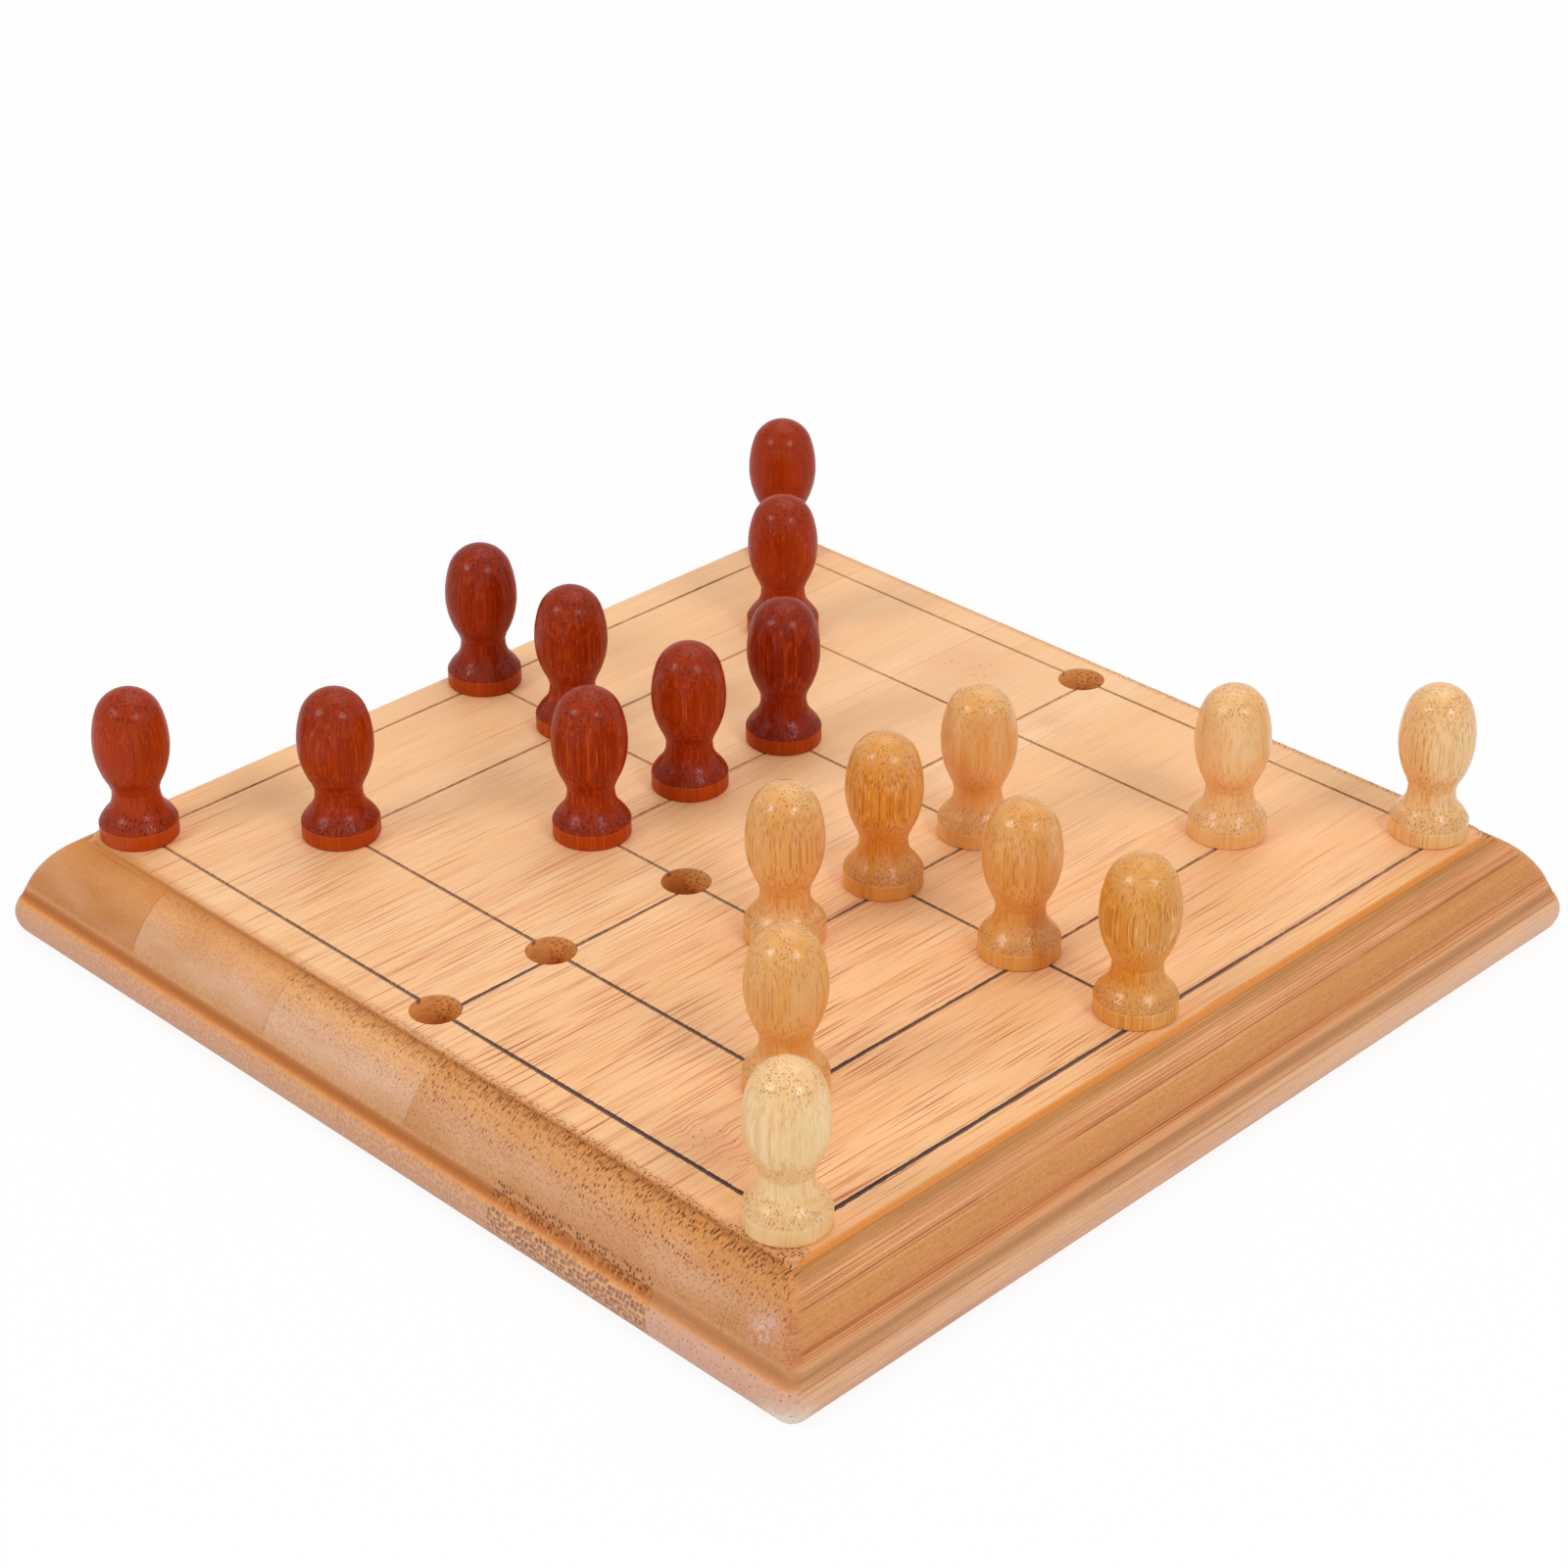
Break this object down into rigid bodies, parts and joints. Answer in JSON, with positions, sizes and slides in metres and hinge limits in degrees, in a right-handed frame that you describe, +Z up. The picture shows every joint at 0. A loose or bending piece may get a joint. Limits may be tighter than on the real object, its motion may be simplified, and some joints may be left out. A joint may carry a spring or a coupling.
{
  "type": "peg mill board game",
  "caption": "Square moulded-edge bamboo board with a marked three-ring mill pattern, peg holes, and stained and natural turned pegs that lift out.",
  "frame": {"origin": "centre of the board's underside", "axes": "+Z up, out of the playing face; +Y along the grain of the strips, from the front side to the back side; +X from the stained pegs to the natural pegs"},
  "size_m": [0.152, 0.152, 0.037],
  "materials": {
    "board_bamboo": "satin",
    "red_stained_bamboo": "semi-gloss stain and varnish",
    "natural_bamboo": "semi-gloss varnish"
  },
  "bodies": {
    "board": {"top_stave_1": "board_bamboo", "top_stave_2": "board_bamboo", "top_stave_3": "board_bamboo", "top_stave_4": "board_bamboo", "top_stave_5": "board_bamboo", "top_stave_6": "board_bamboo", "base_stave_1": "board_bamboo", "base_stave_2": "board_bamboo", "base_stave_3": "board_bamboo", "base_stave_4": "board_bamboo", "base_stave_5": "board_bamboo", "base_stave_6": "board_bamboo"},
    "red_peg_outer_front": {"red_peg_outer_front": "red_stained_bamboo"},
    "red_peg_outer_centre": {"red_peg_outer_centre": "red_stained_bamboo"},
    "red_peg_outer_back": {"red_peg_outer_back": "red_stained_bamboo"},
    "red_peg_middle_front": {"red_peg_middle_front": "red_stained_bamboo"},
    "red_peg_middle_centre": {"red_peg_middle_centre": "red_stained_bamboo"},
    "red_peg_middle_back": {"red_peg_middle_back": "red_stained_bamboo"},
    "red_peg_inner_front": {"red_peg_inner_front": "red_stained_bamboo"},
    "red_peg_inner_centre": {"red_peg_inner_centre": "red_stained_bamboo"},
    "red_peg_inner_back": {"red_peg_inner_back": "red_stained_bamboo"},
    "natural_peg_outer_front": {"natural_peg_outer_front": "natural_bamboo"},
    "natural_peg_outer_centre": {"natural_peg_outer_centre": "natural_bamboo"},
    "natural_peg_outer_back": {"natural_peg_outer_back": "natural_bamboo"},
    "natural_peg_middle_front": {"natural_peg_middle_front": "natural_bamboo"},
    "natural_peg_middle_centre": {"natural_peg_middle_centre": "natural_bamboo"},
    "natural_peg_middle_back": {"natural_peg_middle_back": "natural_bamboo"},
    "natural_peg_inner_front": {"natural_peg_inner_front": "natural_bamboo"},
    "natural_peg_inner_centre": {"natural_peg_inner_centre": "natural_bamboo"},
    "natural_peg_inner_back": {"natural_peg_inner_back": "natural_bamboo"}
  },
  "joints": [
    {"name": "red_peg_outer_front_lift", "type": "slide", "parent": "board", "child": "red_peg_outer_front", "axis": [0, 0, 1], "range_m": [0, 0.03]},
    {"name": "red_peg_outer_centre_lift", "type": "slide", "parent": "board", "child": "red_peg_outer_centre", "axis": [0, 0, 1], "range_m": [0, 0.03]},
    {"name": "red_peg_outer_back_lift", "type": "slide", "parent": "board", "child": "red_peg_outer_back", "axis": [0, 0, 1], "range_m": [0, 0.03]},
    {"name": "red_peg_middle_front_lift", "type": "slide", "parent": "board", "child": "red_peg_middle_front", "axis": [0, 0, 1], "range_m": [0, 0.03]},
    {"name": "red_peg_middle_centre_lift", "type": "slide", "parent": "board", "child": "red_peg_middle_centre", "axis": [0, 0, 1], "range_m": [0, 0.03]},
    {"name": "red_peg_middle_back_lift", "type": "slide", "parent": "board", "child": "red_peg_middle_back", "axis": [0, 0, 1], "range_m": [0, 0.03]},
    {"name": "red_peg_inner_front_lift", "type": "slide", "parent": "board", "child": "red_peg_inner_front", "axis": [0, 0, 1], "range_m": [0, 0.03]},
    {"name": "red_peg_inner_centre_lift", "type": "slide", "parent": "board", "child": "red_peg_inner_centre", "axis": [0, 0, 1], "range_m": [0, 0.03]},
    {"name": "red_peg_inner_back_lift", "type": "slide", "parent": "board", "child": "red_peg_inner_back", "axis": [0, 0, 1], "range_m": [0, 0.03]},
    {"name": "natural_peg_outer_front_lift", "type": "slide", "parent": "board", "child": "natural_peg_outer_front", "axis": [0, 0, 1], "range_m": [0, 0.03]},
    {"name": "natural_peg_outer_centre_lift", "type": "slide", "parent": "board", "child": "natural_peg_outer_centre", "axis": [0, 0, 1], "range_m": [0, 0.03]},
    {"name": "natural_peg_outer_back_lift", "type": "slide", "parent": "board", "child": "natural_peg_outer_back", "axis": [0, 0, 1], "range_m": [0, 0.03]},
    {"name": "natural_peg_middle_front_lift", "type": "slide", "parent": "board", "child": "natural_peg_middle_front", "axis": [0, 0, 1], "range_m": [0, 0.03]},
    {"name": "natural_peg_middle_centre_lift", "type": "slide", "parent": "board", "child": "natural_peg_middle_centre", "axis": [0, 0, 1], "range_m": [0, 0.03]},
    {"name": "natural_peg_middle_back_lift", "type": "slide", "parent": "board", "child": "natural_peg_middle_back", "axis": [0, 0, 1], "range_m": [0, 0.03]},
    {"name": "natural_peg_inner_front_lift", "type": "slide", "parent": "board", "child": "natural_peg_inner_front", "axis": [0, 0, 1], "range_m": [0, 0.03]},
    {"name": "natural_peg_inner_centre_lift", "type": "slide", "parent": "board", "child": "natural_peg_inner_centre", "axis": [0, 0, 1], "range_m": [0, 0.03]},
    {"name": "natural_peg_inner_back_lift", "type": "slide", "parent": "board", "child": "natural_peg_inner_back", "axis": [0, 0, 1], "range_m": [0, 0.03]}
  ]
}
